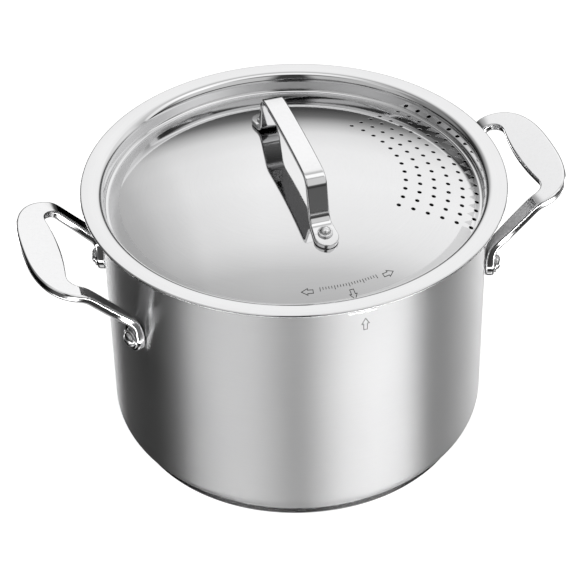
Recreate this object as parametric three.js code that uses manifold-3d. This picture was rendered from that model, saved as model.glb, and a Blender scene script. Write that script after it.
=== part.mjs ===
// Steel pasta pot with a straining lid that locks with a quarter turn.
// Millimetres, +Z up. The origin is the middle of the base, on the surface the pot stands on.
// The side handles lie on the X axis and the lid's handle runs along Y.
import * as THREE from 'three';
import { mergeVertices } from 'three/addons/utils/BufferGeometryUtils.js';
import Module from 'manifold-3d';

// Pot
const POT_RADIUS = 111; // outside of the straight wall
const POT_SHEET = 0.8;
const POT_HEIGHT = 163.7; // top of the rim flange
const POT_CORNER = 12; // outside radius between the wall and the bottom
const RIM_FILLET = 3.5; // radius under the rim flange
const RIM_REACH = 8.3; // from the wall's outside to the flange's edge

// Base
const BASE_RADIUS = 103.7;
const BASE_SHEET = 0.6;
const BASE_EDGE = 1.5; // rounding of the cap's lower edge
const CORE_THICKNESS = 4.2;
const CORE_GAP = 0.2; // brazed joint around the core

// Lid
const LID_SHEET = 0.5;
const LID_PLAY = 0.5; // sideways play of the lid in the pot's mouth
const SEAT_GAP = 0.3; // between pieces that rest on each other
const WIRE_RADIUS = 0.25;
const WIRE_CLEARANCE = 0.25; // around the wire in the curled edge
const CURL_CLEARANCE = 0.6; // between the curled edge and the pot's flange
const DOME_RADIUS = 335; // sphere of the lid's disc
const DOME_RISE = 5.9; // middle of the disc above the lid's flange
const DOME_FILLET = 2; // between the disc and the lid's sunk wall

// Lock lugs and the notches that let them through
const LUG_WIDTH = 15.7;
const LUG_SHEET = 1;
const LUG_DROP = 0.5; // from the flange's underside to the lug
const LUG_TIP = 0.4; // from the end of the rim fillet to the lug's tip
const NOTCH_CLEARANCE = 1.5;

// Strainer holes, in arcs about the lid's axis, over the +X handle
const HOLE_RADIUS = 1.2;
const HOLE_PITCH = 8.15; // along an arc and from arc to arc
const HOLE_FIRST_ARC = 64;
const HOLE_MARGIN = 1.2; // from the last arc to the edge of the disc
const HOLE_FIRST_COUNT = 12; // each further arc has one hole more

// Side handles
const HANDLE_REACH = 48.5; // from the wall to the grip's outer edge
const GRIP_WIDTH = 21.2;
const GRIP_LENGTH = 92.5;
const GRIP_HEIGHT = 150.5; // middle of the grip above the base
const GRIP_TILT = THREE.MathUtils.degToRad(15.6);
const GRIP_BULGE = 2.7; // bow of the grip's inner edge
const GRIP_ROUNDNESS = 2.6; // exponent of the grip's rounded outline
const GRIP_CORNER = 8; // radius where the grip's inner edge meets an arm
const HANDLE_THICKNESS = 5;
const ARM_WIDTH = 9.8;
const ARM_FOOT_RISE = 12.5; // from the rivet up to where the arm leaves the wall
const ARM_FOOT_STANDOFF = 4.2; // the arm's middle from the wall there
const TAB_WIDTH = 15;
const TAB_LENGTH = 7.6; // from the rivet to the tab's lower end
const TAB_TIP = 4; // width of the tab's lower end
const EDGE_CHAMFER = 1.5;

// Rivets of the side handles
const RIVET_ANGLE = THREE.MathUtils.degToRad(20.2); // from the handle's axis
const RIVET_HEIGHT = 107.5;
const RIVET_HEAD_RADIUS = 6;
const RIVET_HEAD_HEIGHT = 3.6;
const RIVET_SHANK_RADIUS = 2.5;
const RIVET_TAIL_RADIUS = 5;
const RIVET_TAIL_HEIGHT = 1.4;
const RIVET_CLEARANCE = 0.25; // between the shank and its holes
const RIVET_STEP = 0.72; // radius of the head's raised dome, as a share of the head's

// Lid handle
const STRAP_WIDTH = 12;
const STRAP_THICKNESS = 3;
const STRAP_RISE = 26; // top of the bar above the middle of the disc
const STRAP_SHOULDER = 41.8; // bar's bend from the lid's axis
const STRAP_FOOT = 46.5; // foot of a leg from the lid's axis
const STRAP_BEND = 5.5;
const STRAP_TAB_WIDTH = 14;
const STRAP_TAB_END = 67; // from the lid's axis
const LID_RIVET_PLACE = 57.5; // from the lid's axis
const LID_RIVET_HEAD_RADIUS = 4.2;
const LID_RIVET_HEAD_HEIGHT = 3.4;
const LID_RIVET_SHANK_RADIUS = 2;
const LID_RIVET_TAIL_RADIUS = 3.8;
const LID_RIVET_TAIL_HEIGHT = 1.2;

// Facets
const ROUND = 48; // around the pot and the lid
const RIVET_ROUND = 12;
const HOLE_ROUND = 6;
const ARC_STEPS = 3; // in a quarter circle of a profile
const CURL_STEPS = 6;
const DOME_STEPS = 4;
const GRIP_STEPS = 6; // in half a grip
const BAR_STEPS = 56; // along a side handle

// Places that follow from the sizes
const potFloor = BASE_SHEET + CORE_THICKNESS + 2 * CORE_GAP;
const rimRadius = POT_RADIUS + RIM_REACH;
const rimUnder = POT_HEIGHT - POT_SHEET;
const lidTop = POT_HEIGHT + SEAT_GAP + LID_SHEET;
const curlRadius = WIRE_RADIUS + WIRE_CLEARANCE + LID_SHEET;
const curlPlace = rimRadius + CURL_CLEARANCE + curlRadius;
const curlHeight = lidTop - curlRadius;
const shoulderPlace = POT_RADIUS + RIM_FILLET - LID_PLAY;
const shoulderHeight = rimUnder - RIM_FILLET;
const shoulderRadius = lidTop - shoulderHeight;
const domeTop = lidTop + DOME_RISE;
const domeMiddle = domeTop - DOME_RADIUS;
const flatShare = Math.cos(Math.PI / ROUND); // a facet's middle against its corner
const wasm = await Module();
wasm.setup();

// Steel as photographed: brushed on the wall, polished elsewhere
const brushedSteel = new THREE.MeshStandardMaterial({ color: 0xb9babb, roughness: 0.32, metalness: 1 });
const polishedSteel = new THREE.MeshStandardMaterial({ color: 0xd4d5d6, roughness: 0.1, metalness: 1 });
const lidSteel = new THREE.MeshStandardMaterial({ color: 0xcccdce, roughness: 0.15, metalness: 1 });
const plainAluminium = new THREE.MeshStandardMaterial({ color: 0xc2c4c8, roughness: 0.4, metalness: 1 });

// Points on an arc about (x, y), from one angle to another in degrees
function arc(x, y, radius, from, to, steps) {
  return Array.from({ length: steps + 1 }, (_, i) => {
    const angle = THREE.MathUtils.degToRad(from + ((to - from) * i) / steps);
    return new THREE.Vector2(x + radius * Math.cos(angle), y + radius * Math.sin(angle));
  });
}

// A closed geometry with shared vertices, no empty triangles and its faces pointing out
function closed(geometry) {
  geometry.deleteAttribute('normal');
  geometry.deleteAttribute('uv');
  const merged = mergeVertices(geometry, 1e-4);
  const place = merged.getAttribute('position');
  const index = merged.getIndex();
  const corners = [new THREE.Vector3(), new THREE.Vector3(), new THREE.Vector3()];
  const kept = [];
  let volume = 0;
  for (let i = 0; i < index.count; i += 3) {
    const [a, b, c] = [index.getX(i), index.getX(i + 1), index.getX(i + 2)];
    if (a !== b && b !== c && c !== a) {
      corners.forEach((corner, k) => corner.fromBufferAttribute(place, [a, b, c][k]));
      volume += corners[0].dot(corners[1].clone().cross(corners[2]));
      kept.push(a, b, c);
    }
  }
  merged.setIndex(volume < 0 ? kept.reverse() : kept);
  return merged;
}

function toSolid(geometry) {
  const ready = closed(geometry);
  const vertProperties = new Float32Array(ready.getAttribute('position').array);
  const triVerts = new Uint32Array(ready.getIndex().array);
  return new wasm.Manifold(new wasm.Mesh({ numProp: 3, vertProperties, triVerts }));
}

function toGeometry(solid) {
  const mesh = solid.getMesh();
  const geometry = new THREE.BufferGeometry();
  geometry.setAttribute('position', new THREE.BufferAttribute(mesh.vertProperties, 3));
  geometry.setIndex(new THREE.BufferAttribute(mesh.triVerts, 1));
  return geometry;
}

// A profile of (radius, height) turned about Z
function turned(profile, around) {
  return closed(new THREE.LatheGeometry(profile, around).rotateX(Math.PI / 2));
}

// A sheet of even thickness: the curve of its first face, then that of its other face, backwards
function turnedSheet(curve, sheet, around) {
  return turned([...curve(0), ...curve(sheet).reverse()], around);
}

// A closed profile that goes once round
function turnedRing(profile, around) {
  return turned([...profile, profile[0]], around);
}

// A cylinder from one point to another
function rod(from, to, radius, around) {
  const along = to.clone().sub(from);
  const geometry = new THREE.CylinderGeometry(radius, radius, along.length(), around);
  const turn = new THREE.Quaternion().setFromUnitVectors(new THREE.Vector3(0, 1, 0), along.clone().normalize());
  geometry.applyQuaternion(turn);
  return geometry.translate(...from.clone().add(to).multiplyScalar(0.5));
}

function box(size, middle) {
  return new THREE.BoxGeometry(...size).translate(...middle);
}

// Height of the disc's upper face, and its slope, at a distance from the lid's axis
function domeHeight(distance) {
  return domeMiddle + Math.sqrt(DOME_RADIUS ** 2 - distance ** 2);
}

function domeSlope(distance) {
  return Math.asin(distance / DOME_RADIUS);
}

// Where the disc ends: the fillet to the sunk wall, at the edge of the disc's sphere
const wallPlace = shoulderPlace - shoulderRadius;
const filletPlace = wallPlace - DOME_FILLET;
const filletSlope = domeSlope(filletPlace);
const discEdge = filletPlace - DOME_FILLET * Math.sin(filletSlope);

// Pot: a drawn shell, from the bottom's middle out to the flange's edge, at a depth into the sheet
function potCurve(depth) {
  const cornerPlace = POT_RADIUS - POT_CORNER;
  const filletPlace = POT_RADIUS + RIM_FILLET;
  return [
    new THREE.Vector2(0, potFloor + depth),
    ...arc(cornerPlace, potFloor + POT_CORNER, POT_CORNER - depth, -90, 0, ARC_STEPS),
    ...arc(filletPlace, shoulderHeight, RIM_FILLET + depth, 180, 90, ARC_STEPS),
    new THREE.Vector2(rimRadius, rimUnder + depth),
  ];
}

function makePotBody() {
  let pot = toSolid(turnedSheet(potCurve, POT_SHEET, ROUND));
  const notchFrom = POT_RADIUS + RIM_FILLET + LUG_TIP - NOTCH_CLEARANCE;
  const notchDepth = rimRadius - notchFrom + NOTCH_CLEARANCE;
  const notchSize = [LUG_WIDTH + 2 * NOTCH_CLEARANCE, notchDepth, RIM_FILLET + POT_SHEET];
  for (const side of [-1, 1]) {
    const middle = [0, side * (notchFrom + notchDepth / 2), rimUnder + POT_SHEET / 2];
    pot = pot.subtract(toSolid(box(notchSize, middle)));
  }
  for (const { foot, outward } of sideRivets()) {
    const shaft = rod(foot.clone().addScaledVector(outward, -POT_RADIUS / 4), foot, rivetHole(), RIVET_ROUND);
    pot = pot.subtract(toSolid(shaft));
  }
  return toGeometry(pot);
}

// Base: a cup of sheet steel around an aluminium disc
function makeBaseCap() {
  const capTop = potFloor - CORE_GAP;
  const edgePlace = BASE_RADIUS - BASE_EDGE;
  const inner = BASE_RADIUS - BASE_SHEET;
  return turned([
    new THREE.Vector2(0, 0),
    ...arc(edgePlace, BASE_EDGE, BASE_EDGE, -90, 0, ARC_STEPS),
    new THREE.Vector2(BASE_RADIUS, capTop),
    new THREE.Vector2(inner, capTop),
    new THREE.Vector2(inner, BASE_EDGE),
    new THREE.Vector2(edgePlace, BASE_SHEET),
    new THREE.Vector2(0, BASE_SHEET),
  ], ROUND);
}

function makeBaseCore() {
  const low = BASE_SHEET + CORE_GAP;
  const reach = BASE_RADIUS - BASE_SHEET - CORE_GAP;
  const high = low + CORE_THICKNESS;
  return turned([
    new THREE.Vector2(0, low),
    new THREE.Vector2(BASE_RADIUS - BASE_EDGE - CORE_GAP, low),
    new THREE.Vector2(reach, BASE_EDGE + CORE_GAP),
    new THREE.Vector2(reach, high),
    new THREE.Vector2(0, high),
  ], ROUND);
}

// Rivet along +Z: its head's seat is at 0 and its tail lies below the pieces that it holds
function makeRivet(size) {
  const domeRadius = size.headRadius * RIVET_STEP;
  const stepHeight = size.headHeight * (1 - RIVET_STEP);
  const tailTop = -size.grip;
  const dome = arc(0, 0, 1, 0, 90, ARC_STEPS).map(({ x, y }) => (
    new THREE.Vector2(x * domeRadius, stepHeight + y * (size.headHeight - stepHeight))
  ));
  return turned([
    new THREE.Vector2(0, tailTop - size.tailHeight),
    new THREE.Vector2(size.tailRadius, tailTop - size.tailHeight),
    new THREE.Vector2(size.tailRadius, tailTop),
    new THREE.Vector2(size.shankRadius, tailTop),
    new THREE.Vector2(size.shankRadius, 0),
    new THREE.Vector2(size.headRadius, 0),
    new THREE.Vector2(size.headRadius, stepHeight),
    ...dome,
  ], RIVET_ROUND);
}

// Where the four rivets of the side handles pass the pot's wall
function sideRivets() {
  const places = [];
  for (const [side, sideName] of [[-1, 'left'], [1, 'right']]) {
    for (const [end, endName] of [[-1, 'front'], [1, 'rear']]) {
      const outward = new THREE.Vector3(side * Math.cos(RIVET_ANGLE), end * Math.sin(RIVET_ANGLE), 0);
      const foot = outward.clone().multiplyScalar(tabFace()).setZ(RIVET_HEIGHT);
      places.push({ name: `${sideName}_${endName}_rivet`, outward, foot });
    }
  }
  return places;
}

function rivetHole() {
  return RIVET_SHANK_RADIUS + RIVET_CLEARANCE;
}

// Outer face of a handle's tab, from the pot's axis
function tabFace() {
  return POT_RADIUS + SEAT_GAP + HANDLE_THICKNESS;
}

function sideRivetSize() {
  const inside = (POT_RADIUS - POT_SHEET) * flatShare - SEAT_GAP;
  return {
    headRadius: RIVET_HEAD_RADIUS,
    headHeight: RIVET_HEAD_HEIGHT,
    shankRadius: RIVET_SHANK_RADIUS,
    grip: tabFace() + SEAT_GAP - inside,
    tailRadius: RIVET_TAIL_RADIUS,
    tailHeight: RIVET_TAIL_HEIGHT,
  };
}

// Half of the +X handle, from a tab's end to the grip's middle: each station has the bar's two edges,
// and the direction of its thickness
function handleStations() {
  const gripOuter = POT_RADIUS + HANDLE_REACH;
  const gripInner = gripOuter - GRIP_WIDTH;
  const gripMiddle = (gripOuter + gripInner) / 2;
  const halfLength = GRIP_LENGTH / 2;
  const cornerPlace = gripInner + GRIP_BULGE - GRIP_CORNER;
  const innerHalf = halfLength - ARM_WIDTH - GRIP_CORNER;
  const gripNormal = new THREE.Vector3(-Math.sin(GRIP_TILT), 0, Math.cos(GRIP_TILT));
  const onGrip = (x, y) => new THREE.Vector3(x, y, GRIP_HEIGHT + (x - gripMiddle) * Math.tan(GRIP_TILT));

  const straightSteps = GRIP_STEPS - 2;
  const grip = Array.from({ length: GRIP_STEPS + 1 }, (_, i) => {
    const angle = ((Math.PI / 2) * i) / GRIP_STEPS;
    const power = 2 / GRIP_ROUNDNESS;
    const outer = onGrip(
      cornerPlace + (gripOuter - cornerPlace) * Math.cos(angle) ** power,
      halfLength * Math.sin(angle) ** power,
    );
    const along = Math.min(1, i / straightSteps);
    const turn = Math.max(0, i - straightSteps) * (Math.PI / 4);
    const inner = i <= straightSteps
      ? onGrip(gripInner + GRIP_BULGE * along ** 2, innerHalf * along)
      : onGrip(cornerPlace + GRIP_CORNER * Math.cos(turn), innerHalf + GRIP_CORNER * Math.sin(turn));
    return { inner, outer, normal: gripNormal };
  });

  const outward = new THREE.Vector3(Math.cos(RIVET_ANGLE), Math.sin(RIVET_ANGLE), 0);
  const across = new THREE.Vector3(-Math.sin(RIVET_ANGLE), Math.cos(RIVET_ANGLE), 0);
  const onWall = (standoff, height, width, normal) => {
    const middle = outward.clone().multiplyScalar(POT_RADIUS + SEAT_GAP + standoff).setZ(height);
    return {
      inner: middle.clone().addScaledVector(across, -width / 2),
      outer: middle.clone().addScaledVector(across, width / 2),
      normal,
    };
  };
  const toWall = outward.clone().negate();
  const footHeight = RIVET_HEIGHT + ARM_FOOT_RISE;
  const last = grip[grip.length - 1];
  const top = last.inner.clone().add(last.outer).multiplyScalar(0.5);
  const foot = onWall(ARM_FOOT_STANDOFF, footHeight, ARM_WIDTH, toWall);
  const footMiddle = foot.inner.clone().add(foot.outer).multiplyScalar(0.5);
  const armAlong = top.clone().sub(footMiddle).normalize();
  const armNormal = across.clone().cross(armAlong).negate().normalize();
  foot.normal = armNormal.clone().add(toWall).normalize();
  const onArm = (share) => {
    const middle = footMiddle.clone().lerp(top, share);
    const armAcross = last.outer.clone().sub(last.inner).setZ(0).normalize().lerp(across, 1 - share).normalize();
    return {
      inner: middle.clone().addScaledVector(armAcross, -ARM_WIDTH / 2),
      outer: middle.clone().addScaledVector(armAcross, ARM_WIDTH / 2),
      normal: armNormal,
    };
  };
  const half = HANDLE_THICKNESS / 2;
  const tab = arc(0, 0, 1, -90, 0, ARC_STEPS).map(({ x, y }) => (
    onWall(half, RIVET_HEIGHT + y * TAB_LENGTH, TAB_TIP + x * (TAB_WIDTH - TAB_TIP), toWall)
  ));
  return [
    ...tab,
    onWall(half, RIVET_HEIGHT + ARM_FOOT_RISE / 2, (TAB_WIDTH + ARM_WIDTH) / 2, toWall),
    foot,
    onArm(1 / 6),
    onArm(1 / 2),
    onArm(5 / 6),
    ...grip.reverse(),
  ];
}

// A bar through its stations, with chamfered edges and flat ends
function makeBar(stations) {
  const through = (key) => new THREE.CatmullRomCurve3(stations.map((s) => s[key]), false, 'catmullrom');
  const [inners, outers, normals] = [through('inner'), through('outer'), through('normal')];
  const half = HANDLE_THICKNESS / 2;
  const rings = [];
  for (let i = 0; i <= BAR_STEPS; i += 1) {
    const inner = inners.getPoint(i / BAR_STEPS);
    const outer = outers.getPoint(i / BAR_STEPS);
    const normal = normals.getPoint(i / BAR_STEPS).normalize();
    const middle = inner.clone().add(outer).multiplyScalar(0.5);
    const halfWidth = inner.distanceTo(outer) / 2;
    const across = outer.clone().sub(inner).normalize();
    const corner = Math.min(EDGE_CHAMFER, half / 2, halfWidth / 2);
    const section = [
      [halfWidth, half - corner], [halfWidth - corner, half],
      [corner - halfWidth, half], [-halfWidth, half - corner],
      [-halfWidth, corner - half], [corner - halfWidth, -half],
      [halfWidth - corner, -half], [halfWidth, corner - half],
    ];
    rings.push(section.map(([w, n]) => middle.clone().addScaledVector(across, w).addScaledVector(normal, n)));
  }
  const count = rings[0].length;
  const index = [];
  for (let i = 0; i < BAR_STEPS; i += 1) {
    for (let k = 0; k < count; k += 1) {
      const next = (k + 1) % count;
      const [a, b] = [i * count + k, i * count + next];
      index.push(a, b, b + count, a, b + count, a + count);
    }
  }
  for (let k = 1; k < count - 1; k += 1) {
    const end = BAR_STEPS * count;
    index.push(0, k + 1, k, end, end + k, end + k + 1);
  }
  const geometry = new THREE.BufferGeometry().setFromPoints(rings.flat());
  geometry.setIndex(index);
  return closed(geometry);
}

function makeSideHandle(side) {
  const half = handleStations();
  const mirrored = half.slice(0, -1).reverse().map(({ inner, outer, normal }) => {
    const flip = (v) => v.clone().setY(-v.y);
    return { inner: flip(inner), outer: flip(outer), normal: flip(normal) };
  });
  const bar = makeBar([...half, ...mirrored]);
  if (side < 0) {
    bar.rotateZ(Math.PI);
  }
  let handle = toSolid(bar);
  for (const { foot, outward } of sideRivets().filter((rivet) => rivet.outward.x * side > 0)) {
    const from = foot.clone().addScaledVector(outward, -3 * HANDLE_THICKNESS);
    const to = foot.clone().addScaledVector(outward, HANDLE_THICKNESS);
    handle = handle.subtract(toSolid(rod(from, to, rivetHole(), RIVET_ROUND)));
  }
  const clearOfWall = turned([
    new THREE.Vector2(0, 0),
    new THREE.Vector2(POT_RADIUS + SEAT_GAP, 0),
    new THREE.Vector2(POT_RADIUS + SEAT_GAP, POT_HEIGHT),
    new THREE.Vector2(0, POT_HEIGHT),
  ], ROUND);
  return toGeometry(handle.subtract(toSolid(clearOfWall)));
}

// Lid: disc, sunk wall, flange and curled edge, at a depth under its upper face
function lidCurve(depth) {
  const filletHeight = domeHeight(filletPlace) + DOME_FILLET / Math.cos(filletSlope);
  const slopeDegrees = THREE.MathUtils.radToDeg(filletSlope);
  const edgeDegrees = THREE.MathUtils.radToDeg(domeSlope(discEdge));
  return [
    ...arc(0, domeMiddle, DOME_RADIUS - depth, 90, 90 - edgeDegrees, DOME_STEPS).slice(0, -1),
    ...arc(filletPlace, filletHeight, DOME_FILLET + depth, -90 - slopeDegrees, 0, ARC_STEPS),
    ...arc(shoulderPlace, shoulderHeight, shoulderRadius - depth, 180, 90, ARC_STEPS),
    ...arc(curlPlace, curlHeight, curlRadius - depth, 90, -180, CURL_STEPS),
  ];
}

function makeLidShell() {
  let lid = toSolid(turnedSheet(lidCurve, LID_SHEET, ROUND));
  const lugTop = rimUnder - LUG_DROP;
  const lugInner = POT_RADIUS + RIM_FILLET + LUG_TIP;
  const lugLow = lugTop - LUG_SHEET;
  const lugOuter = curlPlace + curlRadius;
  const webInner = lugOuter - LUG_SHEET;
  const webTop = Math.max(curlHeight - curlRadius + LID_SHEET, lugTop);
  const lugRing = toSolid(turnedRing([
    new THREE.Vector2(lugInner, lugLow),
    new THREE.Vector2(lugOuter, lugLow),
    new THREE.Vector2(lugOuter, webTop),
    new THREE.Vector2(webInner, webTop),
    new THREE.Vector2(webInner, lugTop),
    new THREE.Vector2(lugInner, lugTop),
  ], ROUND));
  const lugSlab = toSolid(box([LUG_WIDTH, 3 * curlPlace, lidTop], [0, 0, lidTop / 2 + lugLow / 2]));
  lid = lid.add(lugRing.intersect(lugSlab));
  for (const { x, y } of holePlaces()) {
    const height = domeHeight(Math.hypot(x, y));
    const reach = 4 * HOLE_RADIUS;
    const from = new THREE.Vector3(x, y, height - reach);
    const to = new THREE.Vector3(x, y, height + reach);
    lid = lid.subtract(toSolid(rod(from, to, HOLE_RADIUS, HOLE_ROUND)));
  }
  for (const { foot, outward } of lidRivets()) {
    const from = foot.clone().addScaledVector(outward, -4 * STRAP_THICKNESS);
    lid = lid.subtract(toSolid(rod(from, foot, lidRivetHole(), RIVET_ROUND)));
  }
  return toGeometry(lid);
}

function holePlaces() {
  const places = [];
  const arcs = Math.floor((discEdge - HOLE_MARGIN - HOLE_FIRST_ARC) / HOLE_PITCH) + 1;
  for (let row = 0; row < arcs; row += 1) {
    const radius = HOLE_FIRST_ARC + row * HOLE_PITCH;
    const count = HOLE_FIRST_COUNT + row;
    for (let i = 0; i < count; i += 1) {
      const angle = ((i - (count - 1) / 2) * HOLE_PITCH) / radius;
      places.push({ x: radius * Math.cos(angle), y: radius * Math.sin(angle) });
    }
  }
  return places;
}

function makeEdgeWire() {
  return new THREE.TorusGeometry(curlPlace, WIRE_RADIUS, 6, ROUND).translate(0, 0, curlHeight);
}

// Lid handle's rivets: where each head sits on its tab, and the direction away from the disc
function lidRivets() {
  return [[-1, 'front'], [1, 'rear']].map(([side, end]) => {
    const slope = domeSlope(LID_RIVET_PLACE);
    const outward = new THREE.Vector3(0, side * Math.sin(slope), Math.cos(slope));
    const foot = new THREE.Vector3(0, side * LID_RIVET_PLACE, domeHeight(LID_RIVET_PLACE));
    foot.addScaledVector(outward, SEAT_GAP + STRAP_THICKNESS);
    return { name: `lid_${end}_rivet`, outward, foot };
  });
}

function lidRivetHole() {
  return LID_RIVET_SHANK_RADIUS + RIVET_CLEARANCE;
}

function lidRivetSize() {
  return {
    headRadius: LID_RIVET_HEAD_RADIUS,
    headHeight: LID_RIVET_HEAD_HEIGHT,
    shankRadius: LID_RIVET_SHANK_RADIUS,
    grip: STRAP_THICKNESS + LID_SHEET + 4 * SEAT_GAP,
    tailRadius: LID_RIVET_TAIL_RADIUS,
    tailHeight: LID_RIVET_TAIL_HEIGHT,
  };
}

// The strap's middle line from one tab's end to the other, with rounded bends
function strapLine() {
  const lift = SEAT_GAP + STRAP_THICKNESS / 2;
  const onDisc = (y) => new THREE.Vector2(y, domeHeight(y) + lift);
  const barHeight = domeTop + STRAP_RISE - STRAP_THICKNESS / 2;
  const half = [
    onDisc(STRAP_TAB_END),
    onDisc(STRAP_FOOT + STRAP_THICKNESS / 2),
    new THREE.Vector2(STRAP_SHOULDER, barHeight),
  ];
  const corners = [...half, ...half.map((p) => new THREE.Vector2(-p.x, p.y)).reverse()];
  const line = [corners[0]];
  for (let i = 1; i < corners.length - 1; i += 1) {
    const before = corners[i - 1].clone().sub(corners[i]).setLength(STRAP_BEND).add(corners[i]);
    const after = corners[i + 1].clone().sub(corners[i]).setLength(STRAP_BEND).add(corners[i]);
    line.push(...new THREE.QuadraticBezierCurve(before, corners[i], after).getPoints(4));
  }
  line.push(corners[corners.length - 1]);
  return line;
}

function makeLidHandle() {
  const line = strapLine();
  const offset = (distance) => line.map((point, i) => {
    const along = line[Math.min(i + 1, line.length - 1)].clone().sub(line[Math.max(i - 1, 0)]).normalize();
    return new THREE.Vector2(point.x - along.y * distance, point.y + along.x * distance);
  });
  const half = STRAP_THICKNESS / 2;
  const side = new THREE.Shape([...offset(half), ...offset(-half).reverse()]);
  const strap = new THREE.ExtrudeGeometry(side, { depth: STRAP_TAB_WIDTH, bevelEnabled: false });
  strap.applyMatrix4(new THREE.Matrix4().makeBasis(
    new THREE.Vector3(0, 1, 0),
    new THREE.Vector3(0, 0, 1),
    new THREE.Vector3(1, 0, 0),
  )).translate(-STRAP_TAB_WIDTH / 2, 0, 0);

  const tabHalf = STRAP_TAB_WIDTH / 2;
  const tabMiddle = STRAP_TAB_END - tabHalf;
  const neck = STRAP_FOOT + STRAP_THICKNESS;
  const quarter = [
    new THREE.Vector2(STRAP_WIDTH / 2, 0),
    new THREE.Vector2(STRAP_WIDTH / 2, neck),
    ...arc(0, tabMiddle, tabHalf, 0, 90, 5),
  ];
  const rear = [...quarter.slice(1), ...quarter.slice(1, -1).reverse().map((p) => new THREE.Vector2(-p.x, p.y))];
  const front = rear.map((p) => new THREE.Vector2(-p.x, -p.y));
  const plan = new THREE.Shape([...rear, ...front]);
  const prism = new THREE.ExtrudeGeometry(plan, { depth: 2 * domeTop, bevelEnabled: false });

  let handle = toSolid(strap).intersect(toSolid(prism));
  for (const { foot, outward } of lidRivets()) {
    const from = foot.clone().addScaledVector(outward, -4 * STRAP_THICKNESS);
    const to = foot.clone().addScaledVector(outward, STRAP_THICKNESS);
    handle = handle.subtract(toSolid(rod(from, to, lidRivetHole(), RIVET_ROUND)));
  }
  return toGeometry(handle);
}

// Assembly
const pastaPot = new THREE.Group();

function addPiece(name, geometry, material) {
  const mesh = new THREE.Mesh(geometry, material);
  mesh.name = name;
  pastaPot.add(mesh);
  return mesh;
}

// A rivet with its axis along a direction and its head just clear of the tab's face
function addRivet({ name, foot, outward }, size) {
  const mesh = addPiece(name, makeRivet(size), polishedSteel);
  mesh.quaternion.setFromUnitVectors(new THREE.Vector3(0, 0, 1), outward);
  mesh.position.copy(foot).addScaledVector(outward, SEAT_GAP);
}

addPiece('pot_body', makePotBody(), brushedSteel);
addPiece('base_core', makeBaseCore(), plainAluminium);
addPiece('base_cap', makeBaseCap(), polishedSteel);
addPiece('left_handle', makeSideHandle(-1), polishedSteel);
addPiece('right_handle', makeSideHandle(1), polishedSteel);
sideRivets().forEach((rivet) => addRivet(rivet, sideRivetSize()));
addPiece('lid_shell', makeLidShell(), lidSteel);
addPiece('lid_edge_wire', makeEdgeWire(), polishedSteel);
addPiece('lid_handle', makeLidHandle(), polishedSteel);
lidRivets().forEach((rivet) => addRivet(rivet, lidRivetSize()));

export default pastaPot;
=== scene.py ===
"""Looks of a steel pasta pot on its CAD frame.

Fine meshes, steel finishes, a white studio and the camera.
"""
import math

import bmesh
import bpy
from mathutils import Matrix, Vector
from mathutils.geometry import delaunay_2d_cdt


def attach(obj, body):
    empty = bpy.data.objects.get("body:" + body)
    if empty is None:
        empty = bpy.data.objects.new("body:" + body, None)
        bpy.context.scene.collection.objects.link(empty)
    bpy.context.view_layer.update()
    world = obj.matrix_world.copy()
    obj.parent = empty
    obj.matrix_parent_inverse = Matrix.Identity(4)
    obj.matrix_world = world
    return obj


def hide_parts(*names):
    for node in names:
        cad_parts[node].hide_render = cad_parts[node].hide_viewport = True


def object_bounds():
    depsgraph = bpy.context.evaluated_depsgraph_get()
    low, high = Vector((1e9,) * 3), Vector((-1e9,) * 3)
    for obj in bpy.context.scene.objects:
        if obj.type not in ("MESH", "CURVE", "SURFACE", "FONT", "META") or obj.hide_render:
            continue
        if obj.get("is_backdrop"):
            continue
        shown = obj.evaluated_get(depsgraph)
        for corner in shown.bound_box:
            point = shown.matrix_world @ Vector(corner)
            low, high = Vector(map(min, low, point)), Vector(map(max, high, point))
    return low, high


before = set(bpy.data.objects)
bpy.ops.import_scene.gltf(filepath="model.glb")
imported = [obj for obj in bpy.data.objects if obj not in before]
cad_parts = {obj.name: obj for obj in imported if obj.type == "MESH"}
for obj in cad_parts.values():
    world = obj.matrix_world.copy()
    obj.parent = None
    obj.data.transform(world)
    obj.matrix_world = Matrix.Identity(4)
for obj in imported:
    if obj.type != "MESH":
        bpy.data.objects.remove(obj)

cad_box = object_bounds()

# Sizes in millimetres: the CAD's, and those of the finer forms that only the looks have
MM = 0.001
POT_RADIUS = 111.0
POT_SHEET = 0.8
POT_HEIGHT = 163.7
POT_CORNER = 12.0
RIM_FILLET = 3.5
RIM_REACH = 8.3
BASE_RADIUS = 103.7
BASE_SHEET = 0.6
BASE_EDGE = 1.5
CORE_THICKNESS = 4.2
CORE_GAP = 0.2
LID_SHEET = 0.5
LID_PLAY = 0.5
SEAT_GAP = 0.3
WIRE_RADIUS = 0.25
WIRE_CLEARANCE = 0.25
CURL_CLEARANCE = 0.6
DOME_RADIUS = 335.0
DOME_RISE = 5.9
DOME_FILLET = 2.0
LUG_WIDTH = 15.7
LUG_SHEET = 1.0
LUG_DROP = 0.5
LUG_TIP = 0.4
LUG_ROUNDING = 0.18
NOTCH_CLEARANCE = 1.5
HOLE_RADIUS = 1.2
HOLE_LIP = 0.2
HOLE_PITCH = 8.15
HOLE_FIRST_ARC = 64.0
HOLE_FIRST_COUNT = 12
HOLE_ARCS = 6
HANDLE_REACH = 48.5
GRIP_WIDTH = 21.2
GRIP_LENGTH = 92.5
GRIP_HEIGHT = 150.5
GRIP_TILT = math.radians(15.6)
GRIP_BULGE = 2.7
GRIP_ROUNDNESS = 2.6
GRIP_CORNER = 8.0
HANDLE_THICKNESS = 5.0
HANDLE_EDGE = 1.3
HANDLE_LOWER_EDGE = 1.5
HANDLE_EASE = 2.6
HANDLE_NORMAL_EASE = 1.5 * HANDLE_EASE
ARM_WIDTH = 9.8
ARM_FOOT_RISE = 12.5
ARM_FOOT_STANDOFF = 4.2
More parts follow.
